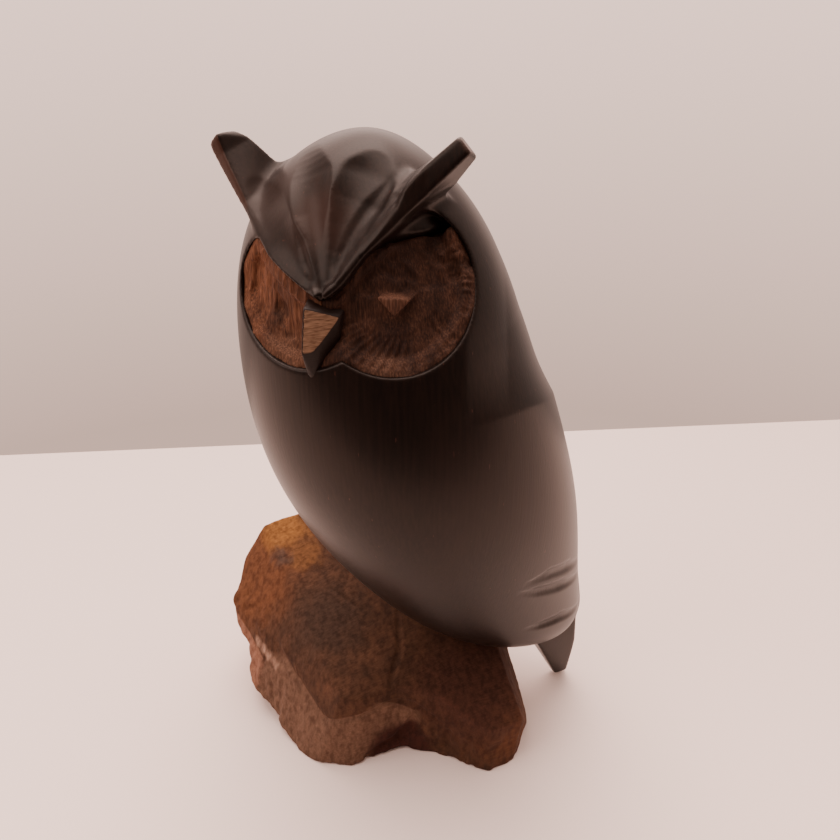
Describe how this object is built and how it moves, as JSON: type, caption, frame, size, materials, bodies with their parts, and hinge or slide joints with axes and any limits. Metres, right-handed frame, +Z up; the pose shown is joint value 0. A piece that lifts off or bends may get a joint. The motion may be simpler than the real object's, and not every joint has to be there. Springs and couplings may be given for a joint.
{
  "type": "carved wooden figurine",
  "caption": "Stylised horned owl carved in polished dark wood, with raw-cut face discs and beak, leaning over a rough split block of the same wood.",
  "frame": {"origin": "middle of the block's flat underside, which rests on the surface", "axes": "+Z up, -Y the way the breast faces, +X the owl's left flank; the head is turned 43 degrees to the owl's left"},
  "size_m": [0.1055, 0.1095, 0.2],
  "materials": {
    "polished_wood": "waxed and polished dark heartwood, satin",
    "raw_face_wood": "raw, chisel and rasp marks",
    "raw_block_wood": "raw split surface, heartwood with a patch of sapwood",
    "dowel_wood": "plain, hidden"
  },
  "bodies": {
    "root": {"owl_body": "polished_wood", "face_disc_left": "raw_face_wood", "face_disc_right": "raw_face_wood", "beak": "raw_face_wood", "base_block": "raw_block_wood", "dowel_front": "dowel_wood", "dowel_rear": "dowel_wood"}
  },
  "joints": []
}
